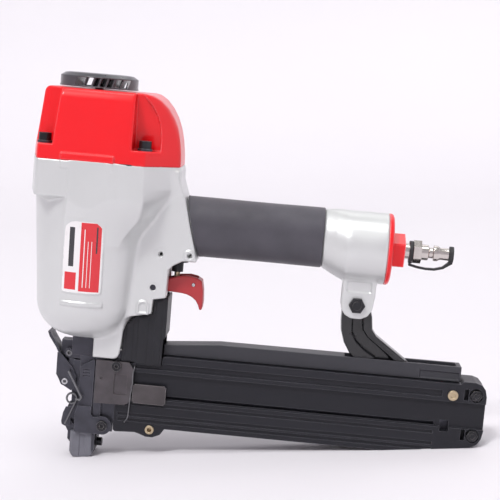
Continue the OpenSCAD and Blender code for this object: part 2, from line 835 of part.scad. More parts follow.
module latch_bail() {
    color("lightgray") union() {
        y_rod(bail_x, bail_z, -bail_y, bail_y, 0.9);
        both_sides() {
            wire([bail_x, bail_y, bail_z], [2.4, bail_y, 44.2], 0.8);
            wire([2.4, bail_y, 44.2], [1.2, bail_y, 42.2], 0.8);
            wire([1.2, bail_y, 42.2], [-1.2, bail_y, 42.6], 0.8);
        }
    }
}

module door_spring() {
    color("lightgray") both_sides() union() {
        translate([-4.9, 12.8, 42]) rotate([90, 0, 0]) coil_spring(3.7, 0.7, 3.5, 1.5, steps = 20, sides = 6);
        wire([-1.2, 12.1, 42], [-8.4, 12.1, 23.8], 0.65);
    }
}

// ---- Contact safety ----

module contact_arm() {
    z1 = 74.5;
    z2 = 79.5;
    color("#5a5a62") difference() {
        union() {
            both_sides() block(10.3, 15.9, arm_in, arm_out, 20.5, 44);
            both_sides() block(pad_back_x + 0.1, arm_back_x, arm_in, arm_out, 5.5, 21);
            block(pad_back_x + 0.1, arm_back_x, -arm_out, arm_out, 5.5, 14);
            block(10.3, 15.9, -arm_out, -arm_in, 43, z2);
            block(10.3, 55, -arm_out, -arm_in, z1, z2);
            block(49, 55, -arm_out, -arm_in, z1, 103);
            block(51.5, 55, -arm_out, 3, 99, 103);
            block(51.5, 55, -3, 3, 99, 118);
        }
        x_rod(10, 14, pad_bolt_z, 1.5 + pin_gap);
    }
}

module contact_spring() {
    color("gray") translate([53.25, -9.6, 103.1]) coil_spring(1.7, 0.35, 15.3, 7, steps = 12, sides = 5);
}

module nose_pad() {
    half_w = 11.7;
    front_x = -5;
    color("#74747c") difference() {
        intersection() {
            side_plate(-half_w, half_w) polygon([
                [front_x, 3.5], [-1.5, 0], [3.2, 0], [10, 0.85], [11.8, 1.8], [11.8, 4.8],
                [pad_back_x, 5.3], [pad_back_x, pad_h], [front_x, pad_h]
            ]);
            linear_extrude(pad_h + past) polygon([
                [front_x, 2 - half_w], [front_x + 2.5, -half_w], [20, -half_w], [20, half_w],
                [front_x + 2.5, half_w], [front_x, half_w - 2]
            ]);
        }
        block(-10, 9.9, -tip_w - slide_gap, tip_w + slide_gap, -1, pad_h + 1);
        x_rod(9, 14, pad_bolt_z, 1.5 + pin_gap);
    }
}

module pad_screw() {
    color("#1e1e22") difference() {
        union() {
            x_rod(arm_back_x, arm_back_x + 4.1, pad_bolt_z, 3);
            x_rod(10, arm_back_x + 1, pad_bolt_z, 1.5);
        }
        translate([arm_back_x + 2, 0, pad_bolt_z]) rotate([0, 90, 0]) cylinder(r = 1.5, h = 5, $fn = 6);
    }
}

module safety_guard() {
    color("#36363c") difference() {
        side_plate(-14.6, 14.6) polygon([
            [27.8, 72.6], [37.6, 72.6], [38.4, 71], [56.6, 71], [56.6, 90], [58, 92], [58, 121],
            [56.8, 120], [48.2, 118.2], [47.5, 107.9], [36, 105], [33, 102], [28.4, 98.5]
        ]);
        block(20, 56, -12.5, 12.5, 60, 98);
        block(20, 56, -13.2, 13.2, 97, 130);
        block(50, 60, -12.5, 12.5, 60, 91);
        both_sides() for (x = [35, 44]) block(x, x + 5, 14, 20, 74, 100);
    }
}

// ---- Magazine ----

module shell_outline() {
    foot_z = 32.3;
    foot_run = 51.2;
    foot_end_x = 266.7;
    offset(r = 2, $fn = 24) offset(delta = -2) polygon([
        [34.3, roof_z], [57, roof_z], [57, mag_top_z], [266, mag_top_z], [268, 80], [276, 80],
        [280.4, 78.6], [283.2, 75.4], [mag_end_x, 70.6], [mag_end_x, 46], [283.4, 40.4], [280.8, 36.2],
        [276, 33.6], [foot_end_x, foot_z],
        [foot_end_x - foot_run, foot_z - foot_run * tan(foot_slope)], [62, 26], [59, 21.6],
        [54, 19.4], [49, 19.4], [44, 21.2], [41, 22], [25.5, 21.2], [25.5, 40.6], [34.3, 40.6]
    ]);
}

module shell(groove_slot) {
    difference() {
        side_plate(0.05, mag_w) shell_outline();
        block(30, 262.3, -1, channel_w, channel_z, roof_z);
        block(20, 34.6, -1, 9.7, 10, 60);
        block(30, 285, 9.2, 20, 46.7, 65.3);
        block(38, 253.6, 10.4, 20, 68.2, 72.8);
        for (z = [29.4, 33.2, 41.4]) block(28, 249.6, 11, 20, z, z + 2.4);
        if (groove_slot) {
            block(30, 250, 0, 20, 47, 49.4);
            block(254, 260, 0, 20, 43.5, 51);
        }
        y_rod(lobe_x, lobe_z, -1, 20, 2 + pin_gap);
        y_rod(rivet_x, rivet_z, -1, 20, 2 + pin_gap);
        for (z = end_bolt_zs) {
            y_rod(end_bolt_x, z, -1, 20, 2 + pin_gap);
            y_rod(end_bolt_x, z, mag_w - 1.6, 20, 5);
            block(268.8, 271.8, 6, 20, z - 4, z + 4);
        }
    }
}

module magazine_left() {
    color("#3c3c40") mirror([0, 1, 0]) shell(true);
}

module magazine_right() {
    color("#3c3c40") shell(false);
}

module staple_rail() {
    inner = 2.4;
    color("#8a8a90") difference() {
        side_plate(-rail_w, rail_w) polygon([
            [1.6, channel_z + 0.05], [262, channel_z + 0.05], [262, 60], [256, 62], [256, rail_z], [1.6, rail_z]
        ]);
        block(6, 261, -inner, inner, channel_z + 2, rail_z + 1);
    }
}

module top_rail() {
    color("#404046") difference() {
        side_plate(-7.6, 7.6) polygon([
            [57, mag_top_z + 0.4], [265.6, mag_top_z + 0.4], [265.6, 89.3], [95, 88.9], [57, 85.5]
        ]);
        block(184, 262, -5.6, 5.6, 80.8, 95);
        both_sides() block(237, 264, 6.6, 20, 79.8, 84.6);
        for (x = foot_screw_xs) z_rod(x, 0, 70, 90, 2.5 + pin_gap);
    }
}

module follower() {
    color("#5f5858") union() {
        difference() {
            block(37.8, 61.3, -14, -12.3, 43.5, 57);
            for (x = [37.8, 61.3]) for (z = [43.5, 57]) y_rod(x, z, -20, -10, 1.2);
        }
        block(39, 60, -12.4, -9.5, 47, 56);
        block(42, 58, -9.6, -3.9, 47.3, 49.1);
        both_sides() block(42, 58, 3.9, 5.9, 30, rail_z + 2);
        block(42, 58, -5.9, 5.9, rail_z + 0.3, rail_z + 2);
        block(52, 58, -2.1, 2.1, 56, rail_z + 1);
    }
}

module follower_spring() {
    turns = 40;
    color("gray") translate([58.1, 0, 62]) rotate([0, 90, 0])
        coil_spring(1.6, 0.35, 202, turns, steps = 10, sides = 4);
}

// Headed pin right through the magazine, with a dished head
module through_pin(x, z, head_r, head_h, dish_r, dish_h) {
    difference() {
        union() {
            both_sides() y_rod(x, z, mag_w, mag_w + head_h, head_r);
            y_rod(x, z, -mag_w - 0.2, mag_w + 0.2, 2);
        }
        y_rod(x, z, -20, -mag_w - head_h + dish_h, dish_r);
    }
}

module magazine_pins() {
    color("#9a7a3c") {
        through_pin(rivet_x, rivet_z, 3.65, 1.4, 1.6, 0.9);
        through_pin(lobe_x, lobe_z, 3.2, 1.2, 1.5, 5);
    }
}

module magazine_bolts() {
    color("#303036") for (z = end_bolt_zs) union() {
        y_rod(end_bolt_x, z, -14.2, mag_w - 1.5, 2);
        y_rod(end_bolt_x, z, mag_w - 1.55, mag_w + 2.4, 3.5);
    }
}

module hex_nut(x, z, y0, y1, flats, bore_r) {
    difference() {
        y_rod(x, z, y0, y1, flats / 2 / cos(30), sides = 6);
        y_rod(x, z, y0 - past, y1 + past, bore_r + pin_gap);
    }
}

module hex_nuts() {
    color("#303036") {
        for (z = end_bolt_zs) hex_nut(end_bolt_x, z, -13.6, -mag_w + 1.6, 7, 2);
        hex_nut(bracket_bolt_x, bracket_bolt_z, -15, -12, 10, 3);
    }
}

// ---- Support bracket ----

module support_bracket() {
    color("#2c2c30") difference() {
        union() {
            y_rod(bracket_bolt_x, bracket_bolt_z, -6.4, 6.4, 8.6);
            side_plate(-6.4, 6.4) polygon([
                [180, 127], [178.8, 117], [179, 110], [182.6, 98], [186.6, 91.5], [189.4, 91.5],
                [185, 100], [182, 111], [182.2, 118], [197, 118], [198, 107.4], [201.6, 102.4], [217, 91.5],
                [223.6, 91.5], [204.5, 104.8], [201, 109], [200.2, 118], [197, 127]
            ]);
            side_plate(-2.6, 2.6) polygon([
                [180, 124], [180, 110], [184, 98], [190.4, 88], [190.4, 81], [232, 81],
                [232, 86], [228.7, 88], [204, 104], [200, 110], [198, 124]
            ]);
            block(190.4, 261.6, -5.3, 5.3, 80.9, foot_top_z);
        }
        y_rod(bracket_bolt_x, bracket_bolt_z, -20, 20, 3 + pin_gap);
        for (x = foot_screw_xs) z_rod(x, 0, 70, 90, 2.5 + pin_gap);
    }
}

module bracket_bolt() {
    color("#303036") union() {
        y_rod(bracket_bolt_x, bracket_bolt_z, -15.6, 12.1, 3);
        y_rod(bracket_bolt_x, bracket_bolt_z, 12, 15.4, 4.9);
    }
}

module foot_screws() {
    color("#303036") for (x = foot_screw_xs) union() {
        z_rod(x, 0, 79, 85, 2.5);
        z_rod(x, 0, foot_top_z, foot_top_z + 2.6, 4.4);
    }
}

body_housing();
cap_gasket();
cylinder_cap();
cap_screws();
cap_washers();
exhaust_deflector();
deflector_screw();
head_valve();
head_valve_seal();
head_valve_spring();
cylinder_sleeve();
sleeve_seals();
piston();
piston_seal();
driver_blade();
driver_pin();
bumper();
valve_body();
valve_stem();
valve_spring();
trigger();
trigger_pin();
trigger_spring();
safety_lever();
lever_pin();
roll_pins();
grip_sleeve();
end_cap();
end_cap_seal();
air_plug();
dust_cap_ring();
dust_cap();
driver_guide();
front_block();
nose_side_plates();
guide_side_plates();
nose_bolts();
nose_door();
latch_lever();
latch_pin();
latch_bail();
door_spring();
contact_arm();
contact_spring();
nose_pad();
pad_screw();
safety_guard();
magazine_left();
magazine_right();
staple_rail();
top_rail();
follower();
follower_spring();
magazine_pins();
magazine_bolts();
hex_nuts();
support_bracket();
bracket_bolt();
foot_screws();
name_plate();
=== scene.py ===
import math

import bpy
import numpy as np
from mathutils import Matrix, Vector


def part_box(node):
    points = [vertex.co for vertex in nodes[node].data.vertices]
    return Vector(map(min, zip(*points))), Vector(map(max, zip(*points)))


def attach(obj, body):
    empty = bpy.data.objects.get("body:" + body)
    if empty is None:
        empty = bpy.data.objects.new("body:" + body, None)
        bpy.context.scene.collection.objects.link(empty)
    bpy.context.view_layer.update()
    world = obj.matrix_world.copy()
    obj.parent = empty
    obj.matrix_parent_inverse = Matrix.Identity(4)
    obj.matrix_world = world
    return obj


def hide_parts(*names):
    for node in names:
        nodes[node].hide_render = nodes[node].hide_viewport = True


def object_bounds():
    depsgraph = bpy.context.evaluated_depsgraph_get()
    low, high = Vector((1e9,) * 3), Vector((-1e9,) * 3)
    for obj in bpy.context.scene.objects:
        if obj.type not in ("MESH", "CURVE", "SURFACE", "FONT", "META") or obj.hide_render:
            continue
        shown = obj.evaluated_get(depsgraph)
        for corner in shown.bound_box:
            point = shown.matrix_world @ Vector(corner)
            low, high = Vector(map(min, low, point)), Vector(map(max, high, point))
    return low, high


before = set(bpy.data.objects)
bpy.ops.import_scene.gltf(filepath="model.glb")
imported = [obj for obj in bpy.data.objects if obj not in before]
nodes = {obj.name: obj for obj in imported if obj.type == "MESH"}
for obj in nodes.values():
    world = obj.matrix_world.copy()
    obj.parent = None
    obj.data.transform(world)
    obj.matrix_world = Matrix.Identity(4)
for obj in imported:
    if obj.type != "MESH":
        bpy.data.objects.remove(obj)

cad_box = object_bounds()
MM = 0.001
scene = bpy.context.scene


def box_mm(node):
    """Lowest and highest corner of a CAD node, in millimetres."""
    low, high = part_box(node)
    return [v / MM for v in low], [v / MM for v in high]


# ---------------------------------------------------------------- camera

def make_camera():
    """The camera faces the tool's near side from a little above and looks slightly down."""
    pitch, yaw, roll = math.radians(7.5), math.radians(2.0), math.radians(4.9)
    back = Vector((math.sin(yaw) * math.cos(pitch), -math.cos(yaw) * math.cos(pitch), math.sin(pitch)))
    level = Vector((math.cos(yaw), math.sin(yaw), 0))
    up = back.cross(level)
    right = level * math.cos(roll) + up * math.sin(roll)
    up = up * math.cos(roll) - level * math.sin(roll)
    data = bpy.data.cameras.new("camera")
    data.sensor_width = 36
    data.lens = 93.6
    data.clip_start, data.clip_end = 0.05, 20
    camera = bpy.data.objects.new("camera", data)
    scene.collection.objects.link(camera)
    camera.matrix_world = Matrix((right, up, back)).transposed().to_4x4()
    camera.location = Vector((142.6, -901.7, 275.8)) * MM
    scene.camera = camera


make_camera()
scene.view_settings.view_transform = "Standard"


# ---------------------------------------------------------------- materials

def new_material(name):
    material = bpy.data.materials.new(name)
    material.use_nodes = True
    tree = material.node_tree
    shader = tree.nodes["Principled BSDF"]
    return material, tree, shader


def add(tree, kind, **settings):
    """Adds a node. Settings that name an input set it, and the others set the node itself."""
    node = tree.nodes.new(kind)
    for key, value in settings.items():
        label = key.replace("_", " ").title() if key not in node.bl_rna.properties else None
        if label and label in node.inputs:
            node.inputs[label].default_value = value
        else:
            setattr(node, key, value)
    return node


def noise(tree, coords, scale, detail=3.0, rough=0.5):
    node = add(tree, "ShaderNodeTexNoise", scale=scale, detail=detail, roughness=rough)
    tree.links.new(coords, node.inputs["Vector"])
    return node.outputs["Fac"]


def spread(tree, value, low, high, source=(0.3, 0.7)):
    """Maps a value from the source range to the range from low to high."""
    node = add(tree, "ShaderNodeMapRange", from_min=source[0], from_max=source[1], to_min=low, to_max=high)
    tree.links.new(value, node.inputs["Value"])
    return node.outputs["Result"]


def blend_colours(tree, factor, dark, light):
    """Mixes two colours, each a tuple or a socket, through the mix node's colour sockets."""
    node = add(tree, "ShaderNodeMix", data_type="RGBA")
    tree.links.new(factor, node.inputs["Factor"])
    first, second, result = node.inputs[6], node.inputs[7], node.outputs[2]
    for socket, colour in ((first, dark), (second, light)):
        if isinstance(colour, bpy.types.NodeSocket):
            tree.links.new(colour, socket)
        else:
            socket.default_value = (*colour, 1)
    return result


def scaled(colour, factor):
    return tuple(min(c * factor, 1) for c in colour)


def edge_wear_and_highlight_mask(tree, width):
    """0 on flats and near 1 on edges. Some finishes tint these edges as wear, others as a painted highlight.
    """
    bevel = add(tree, "ShaderNodeBevel", samples=4, radius=width * MM)
    geometry = add(tree, "ShaderNodeNewGeometry")
    dot = add(tree, "ShaderNodeVectorMath", operation="DOT_PRODUCT")
    tree.links.new(bevel.outputs["Normal"], dot.inputs[0])
    tree.links.new(geometry.outputs["Normal"], dot.inputs[1])
    return spread(tree, dot.outputs["Value"], 1.0, 0.0, (0.80, 0.99))


def finish_material(
    name, colour, roughness, metallic=0.0, mottle=0.06, mottle_scale=60.0, grain=0.15, grain_scale=900.0,
    grain_depth=0.02, stretch=(1, 1, 1), rough_spread=0.06, edge=None, edge_width=0.6, coat=0.0,
    coat_roughness=0.1, sheen=0.0, specular=0.5
):
    """A painted, moulded, plated or ground surface: mottled colour, uneven gloss, relief and a lighter edge
    tint, which is wear on some finishes and a painted highlight on others.
    """
    material, tree, shader = new_material(name)
    place = add(tree, "ShaderNodeTexCoord")
    stretched = add(tree, "ShaderNodeVectorMath", operation="MULTIPLY")
    tree.links.new(place.outputs["Object"], stretched.inputs[0])
    stretched.inputs[1].default_value = stretch
    coords = stretched.outputs["Vector"]
    broad = spread(tree, noise(tree, coords, mottle_scale, 4.0), 0.0, 1.0)
    tint = blend_colours(tree, broad, scaled(colour, 1 - mottle), scaled(colour, 1 + mottle))
    if edge:
        # edge tint: wear on some finishes and a painted highlight on others, as noted at each material
        tint = blend_colours(tree, edge_wear_and_highlight_mask(tree, edge_width), tint, edge)
    tree.links.new(tint, shader.inputs["Base Color"])
    fine = noise(tree, coords, grain_scale, 2.0, 0.6)
    patches = noise(tree, coords, mottle_scale * 2.3, 3.0)
    gloss = spread(tree, patches, roughness - rough_spread, roughness + rough_spread)
    tree.links.new(gloss, shader.inputs["Roughness"])
    bump = add(tree, "ShaderNodeBump", strength=grain, distance=grain_depth * MM)
    tree.links.new(fine, bump.inputs["Height"])
    tree.links.new(bump.outputs["Normal"], shader.inputs["Normal"])
    shader.inputs["Metallic"].default_value = metallic
    shader.inputs["Coat Weight"].default_value = coat
    shader.inputs["Coat Roughness"].default_value = coat_roughness
    shader.inputs["Sheen Weight"].default_value = sheen
    shader.inputs["Specular IOR Level"].default_value = specular
    return material


silver_paint = finish_material(
    "silver_paint", (0.67, 0.68, 0.675), 0.34, metallic=0.42, mottle=0.02, mottle_scale=25, grain=0.35,
    grain_scale=1300, grain_depth=0.05, coat=0.10, coat_roughness=0.35)
# The red paint's pale edge tint is a painted highlight along the cap's rounded edges and notch edges.
red_paint = finish_material(
    "red_paint", (0.86, 0.008, 0.014), 0.34, mottle=0.02, mottle_scale=20, grain=0.2, grain_scale=500,
    grain_depth=0.02, coat=0.40, coat_roughness=0.09, rough_spread=0.03, specular=0.25,
    edge=(1.0, 0.42, 0.44), edge_width=1.3)
# The trigger's brighter red edge tint is a painted highlight along its rounded edges.
trigger_red = finish_material(
    "trigger_red", (0.45, 0.035, 0.04), 0.38, mottle=0.06, grain=0.3, grain_scale=900, grain_depth=0.04,
    edge=(0.62, 0.16, 0.16), edge_width=0.4)
grip_rubber = finish_material(
    "grip_rubber", (0.062, 0.058, 0.072), 0.62, mottle=0.14, mottle_scale=45, grain=0.6, grain_scale=1400,
    grain_depth=0.12, sheen=0.25, rough_spread=0.08)
black_plastic = finish_material(
    "black_plastic", (0.019, 0.019, 0.023), 0.42, mottle=0.10, grain=0.5, grain_scale=1600, grain_depth=0.05,
    edge=(0.085, 0.085, 0.095), edge_width=0.5, specular=0.28)
# A lighter copy of the black plastic with bright edges: painted highlight on the exhaust deflector's fins.
vent_plastic_painted_highlights = finish_material(
    "vent_plastic_painted_highlights", (0.055, 0.052, 0.062), 0.32, mottle=0.10, grain=0.4, grain_scale=1400, grain_depth=0.04,
    edge=(0.42, 0.42, 0.44), edge_width=0.45, coat=0.4, coat_roughness=0.15)
black_coat = finish_material(
    "black_coat", (0.019, 0.019, 0.024), 0.40, metallic=0.15, mottle=0.16, mottle_scale=30, grain=0.3,
    grain_scale=1200, grain_depth=0.03, stretch=(0.12, 1, 1), edge=(0.115, 0.115, 0.13), edge_width=0.6,
    specular=0.28)
rail_coat = finish_material(
    "rail_coat", (0.034, 0.034, 0.041), 0.42, metallic=0.15, mottle=0.14, mottle_scale=30, grain=0.3,
    grain_scale=1200, grain_depth=0.03, stretch=(0.12, 1, 1), edge=(0.13, 0.13, 0.145), edge_width=0.6)
bracket_coat = finish_material(
    "bracket_coat", (0.014, 0.014, 0.016), 0.22, metallic=0.1, mottle=0.10, grain=0.3, grain_scale=700,
    grain_depth=0.05, coat=0.3)
dark_steel = finish_material(
    "dark_steel", (0.060, 0.060, 0.074), 0.40, metallic=0.6, mottle=0.20, mottle_scale=90, grain=0.4,
    grain_scale=900, grain_depth=0.04, edge=(0.24, 0.24, 0.27), edge_width=0.4)
phosphate_steel = finish_material(
    "phosphate_steel", (0.078, 0.069, 0.072), 0.40, metallic=0.5, mottle=0.22, mottle_scale=110, grain=0.5,
    grain_scale=1100, grain_depth=0.04, edge=(0.40, 0.38, 0.38), edge_width=0.5)
guide_steel = finish_material(
    "guide_steel", (0.085, 0.076, 0.082), 0.42, metallic=0.5, mottle=0.20, mottle_scale=110, grain=0.5,
    grain_scale=1100, grain_depth=0.04, edge=(0.20, 0.185, 0.18), edge_width=0.4)
oiled_spring = finish_material(
    "oiled_spring", (0.20, 0.20, 0.21), 0.34, metallic=0.9, mottle=0.15, grain=0.3, grain_scale=1500,
    grain_depth=0.02)
bright_steel = finish_material(
    "bright_steel", (0.55, 0.55, 0.57), 0.28, metallic=1.0, mottle=0.08, grain=0.25, grain_scale=1500,
    grain_depth=0.02, stretch=(1, 0.1, 1))
spring_steel = finish_material(
    "spring_steel", (0.42, 0.42, 0.43), 0.30, metallic=1.0, mottle=0.12, grain=0.3, grain_scale=1500,
    grain_depth=0.02)
# The bright edge tint on the screws and nuts is a painted highlight ring round their heads and nuts.
black_screw = finish_material(
    "black_screw", (0.030, 0.030, 0.034), 0.36, metallic=0.7, mottle=0.15, grain=0.4, grain_scale=1500,
    grain_depth=0.03, edge=(0.42, 0.40, 0.39), edge_width=0.4)
plug_nickel = finish_material(
    "plug_nickel", (0.62, 0.58, 0.55), 0.17, metallic=1.0, mottle=0.05, grain=0.2, grain_scale=900,
    grain_depth=0.02, stretch=(4, 0.3, 0.3))
brass = finish_material(
    "brass", (0.55, 0.45, 0.30), 0.32, metallic=1.0, mottle=0.12, grain=0.4, grain_scale=1000,
    grain_depth=0.03)
seal_rubber = finish_material(
    "seal_rubber", (0.022, 0.022, 0.025), 0.50, mottle=0.12, grain=0.4, grain_scale=1500, grain_depth=0.04)
pad_rubber = finish_material(
    "pad_rubber", (0.15, 0.15, 0.175), 0.55, mottle=0.12, mottle_scale=80, grain=0.5, grain_scale=1100,
    grain_depth=0.08, edge=(0.24, 0.24, 0.27), edge_width=0.6)
alloy = finish_material(
    "alloy", (0.70, 0.70, 0.72), 0.28, metallic=1.0, mottle=0.05, grain=0.2, grain_scale=1200,
    grain_depth=0.02, stretch=(1, 1, 5))
valve_plastic = finish_material(
    "valve_plastic", (0.72, 0.71, 0.66), 0.35, mottle=0.04, grain=0.3, grain_scale=1200, grain_depth=0.02)
gasket_fibre = finish_material(
    "gasket_fibre", (0.06, 0.06, 0.06), 0.75, mottle=0.2, mottle_scale=200, grain=0.6, grain_scale=1800,
    grain_depth=0.05)


def make_label():
    """A printed plate of plain bands, without lettering. The bands are placed in millimetres."""
    paper, red, dark = (0.86, 0.84, 0.84), (0.72, 0.02, 0.03), (0.03, 0.03, 0.035)
    bands = [
        (red, (-1.6, 12.2), (123.2, 170.6)), (red, (-11.6, -3.6), (124, 136)),
        (dark, (-9.4, -5.8), (140, 167)), (paper, (0.8, 1.4), (126, 166)),
        (paper, (3.4, 3.8), (126, 158)), (paper, (5.8, 6.2), (126, 158)), (dark, (8.9, 9.9), (150, 168))]
    material = finish_material(
        "label_print", paper, 0.33, mottle=0.02, grain=0.2, grain_scale=1200, grain_depth=0.02, coat=0.4)
    tree = material.node_tree
    shader = tree.nodes["Principled BSDF"]
    colour = shader.inputs["Base Color"].links[0].from_socket
    place = add(tree, "ShaderNodeTexCoord")
    split = add(tree, "ShaderNodeSeparateXYZ")
    tree.links.new(place.outputs["Object"], split.inputs[0])
    for shade, *ranges in bands:
        sides = []
        for axis, (low, high) in zip("XZ", ranges):
            inside = add(tree, "ShaderNodeMath", operation="COMPARE")
            tree.links.new(split.outputs[axis], inside.inputs[0])
            inside.inputs[1].default_value = (low + high) / 2 * MM
            inside.inputs[2].default_value = (high - low) / 2 * MM
            sides.append(inside.outputs[0])
        both = add(tree, "ShaderNodeMath", operation="MULTIPLY")
        tree.links.new(sides[0], both.inputs[0])
        tree.links.new(sides[1], both.inputs[1])
        colour = blend_colours(tree, both.outputs[0], colour, shade)
    tree.links.new(colour, shader.inputs["Base Color"])
    return material


label_print = make_label()

FINISHES = {
    silver_paint: ["body_housing"],
    red_paint: ["cylinder_cap", "end_cap"],
    trigger_red: ["trigger"],
    grip_rubber: ["grip_sleeve"],
    black_plastic: ["valve_body", "safety_guard"],
    vent_plastic_painted_highlights: ["exhaust_deflector"],
    black_coat: ["magazine_left", "magazine_right"],
    rail_coat: ["top_rail"],
    bracket_coat: ["support_bracket"],
    dark_steel: [
        "cap_washers", "safety_lever", "driver_guide", "front_block", "nose_side_plates", "nose_door",
        "latch_lever", "contact_arm", "staple_rail", "trigger_pin"],
    phosphate_steel: ["follower"],
    guide_steel: ["guide_side_plates"],
    oiled_spring: ["door_spring", "latch_bail", "roll_pins"],
    bright_steel: ["driver_blade", "driver_pin", "lever_pin", "latch_pin"],
    spring_steel: [
        "head_valve_spring", "valve_spring", "trigger_spring", "contact_spring",
        "follower_spring"],
    black_screw: [
        "cap_screws", "deflector_screw", "nose_bolts", "pad_screw", "magazine_bolts", "hex_nuts",
        "bracket_bolt", "foot_screws"],
    plug_nickel: ["air_plug"],
    brass: ["valve_stem", "magazine_pins"],
    seal_rubber: [
        "head_valve_seal", "sleeve_seals", "piston_seal", "bumper", "end_cap_seal", "dust_cap_ring",
        "dust_cap"],
    pad_rubber: ["nose_pad"],
    alloy: ["cylinder_sleeve", "piston"],
    valve_plastic: ["head_valve"],
    gasket_fibre: ["cap_gasket"],
    label_print: ["name_plate"],
}
for finish, names in FINISHES.items():
    for name in names:
        nodes[name].data.materials.clear()
        nodes[name].data.materials.append(finish)


def soften(name, width):
    """Gives a CAD node's sharp edges a small radius that catches the light."""
    piece = nodes[name]
    piece.data.shade_smooth()
    weld = piece.modifiers.new("weld", "WELD")
    weld.merge_threshold = 0.002 * MM
    flat = piece.modifiers.new("flat", "DECIMATE")
    flat.decimate_type = "DISSOLVE"
    flat.angle_limit = math.radians(1.0)
    bevel = piece.modifiers.new("bevel", "BEVEL")
    bevel.width = width * MM
    bevel.segments = 2
    bevel.limit_method = "ANGLE"
    bevel.angle_limit = math.radians(40)
    shade = piece.modifiers.new("shade", "WEIGHTED_NORMAL")
    shade.weight = 80


SOFTENED = {
    0.5: ["magazine_left", "magazine_right", "top_rail", "end_cap", "front_block"],
    0.3: [
        "driver_guide", "nose_side_plates", "guide_side_plates", "nose_door", "latch_lever", "contact_arm",
        "follower", "cap_screws", "bracket_bolt", "foot_screws", "dust_cap", "dust_cap_ring",
        "magazine_pins"],
    0.2: [
        "nose_bolts", "pad_screw", "magazine_bolts", "hex_nuts", "deflector_screw", "air_plug", "roll_pins",
        "trigger_pin", "latch_pin", "lever_pin", "staple_rail", "safety_lever"],
}
for width, names in SOFTENED.items():
    for name in names:
        soften(name, width)


# ---------------------------------------------------------------- shapes as distance fields, in millimetres

def span(value, low, high):
    """Signed distance to a range, negative inside it."""
    return np.abs(value - (low + high) / 2) - (high - low) / 2


def join(a, b, k=0.0):
    """Union, with a fillet of about k."""
    if k <= 0:
        return np.minimum(a, b)
    h = np.maximum(k - np.abs(a - b), 0) / k
    return np.minimum(a, b) - h * h * k / 4


def meet(a, b, k=0.0):
    return -join(-a, -b, k)


def cut(a, b, k=0.0):
    return -join(-a, b, k)


def prism(section, length, edge=0.0):
    """Where a section's distance and a range's distance are both negative, with rounded edges."""
    a, b = section + edge, length + edge
    return np.minimum(np.maximum(a, b), 0) + np.hypot(np.maximum(a, 0), np.maximum(b, 0)) - edge


def block(p, x, y, z, edge=0.0):
    inner = [span(v, lo, hi) + edge for v, (lo, hi) in zip(p, (x, y, z))]
    outside = np.sqrt(sum(np.maximum(v, 0) ** 2 for v in inner))
    return outside + np.minimum(np.maximum(np.maximum(inner[0], inner[1]), inner[2]), 0) - edge


def inset(points, r):
    """The outline moved inwards by r. The points run anticlockwise."""
    moved = []
    for (a, b), (c, d), (e, f) in zip(points[-1:] + points[:-1], points, points[1:] + points[:1]):
        n1 = Vector((d - b, a - c)).normalized()
        n2 = Vector((f - d, c - e)).normalized()
        step = (n1 + n2) * (r / (1 + n1.dot(n2)))
        moved.append((c - step.x, d - step.y))
    return moved


def outline(u, v, points, r=0.0):
    """Signed distance to a closed outline with corners rounded to r."""
    points = inset(points, r) if r else points
    nearest = np.full(np.shape(u), 1e9)
    inside = np.zeros(np.shape(u), bool)
    for (a, b), (c, d) in zip(points, points[1:] + points[:1]):
        t = np.clip(((u - a) * (c - a) + (v - b) * (d - b)) / ((c - a) ** 2 + (d - b) ** 2), 0, 1)
        nearest = np.minimum(nearest, (u - a - (c - a) * t) ** 2 + (v - b - (d - b) * t) ** 2)
        inside ^= ((b > v) != (d > v)) & (u < (c - a) * (v - b) / ((d - b) or 1e-9) + a)
    return np.where(inside, -1, 1) * np.sqrt(nearest) - r


def ease(value, start, end):
    t = np.clip((value - start) / (end - start), 0, 1)
    return t * t * (3 - 2 * t)


def surface_net(field, low, high, step):
    """Quad mesh of a field's zero surface, in millimetres. The samples far from it are coarse."""
    axes = [np.arange(a - 2 * step, b + 3 * step, step) for a, b in zip(low, high)]
    stride = 6
    coarse = field(*np.meshgrid(*[a[::stride] for a in axes], indexing="ij"))
    for axis, line in enumerate(axes):
        coarse = np.repeat(coarse, stride, axis)[tuple([slice(None)] * axis + [slice(len(line))])]
    near = np.abs(coarse) < (stride * math.sqrt(3) + 2) * step
    where = np.nonzero(near)
    values = coarse
    values[where] = field(*[line[i] for line, i in zip(axes, where)])
    cells = tuple(n - 1 for n in values.shape)
    quads, spots, owners = [], [], []
    for axis in range(3):
        u, v = (axis + 1) % 3, (axis + 2) % 3
        first = values[tuple(slice(None, -1) if k == axis else slice(None) for k in range(3))]
        second = values[tuple(slice(1, None) if k == axis else slice(None) for k in range(3))]
        edges = np.argwhere((first < 0) != (second < 0))
        a, b = first[tuple(edges.T)], second[tuple(edges.T)]
        crossing = edges.astype(float)
        crossing[:, axis] += a / (a - b)
        corners = []
        for du, dv in ((0, 0), (-1, 0), (-1, -1), (0, -1)):
            cell = edges.copy()
            cell[:, u] += du
            cell[:, v] += dv
            index = np.ravel_multi_index(tuple(cell.T), cells)
            corners.append(index)
            spots.append(crossing)
            owners.append(index)
        quad = np.stack(corners, 1)
        quads.append(np.where((a < 0)[:, None], quad, quad[:, ::-1]))
    quads, spots, owners = np.concatenate(quads), np.concatenate(spots), np.concatenate(owners)
    used, owners = np.unique(owners, return_inverse=True)
    count = np.bincount(owners)
    points = np.stack([np.bincount(owners, spots[:, k]) / count for k in range(3)], 1)
    points = points * step + [line[0] for line in axes]
    for _ in range(3):
        points = pull(field, points, step)
    return points, np.searchsorted(used, quads)


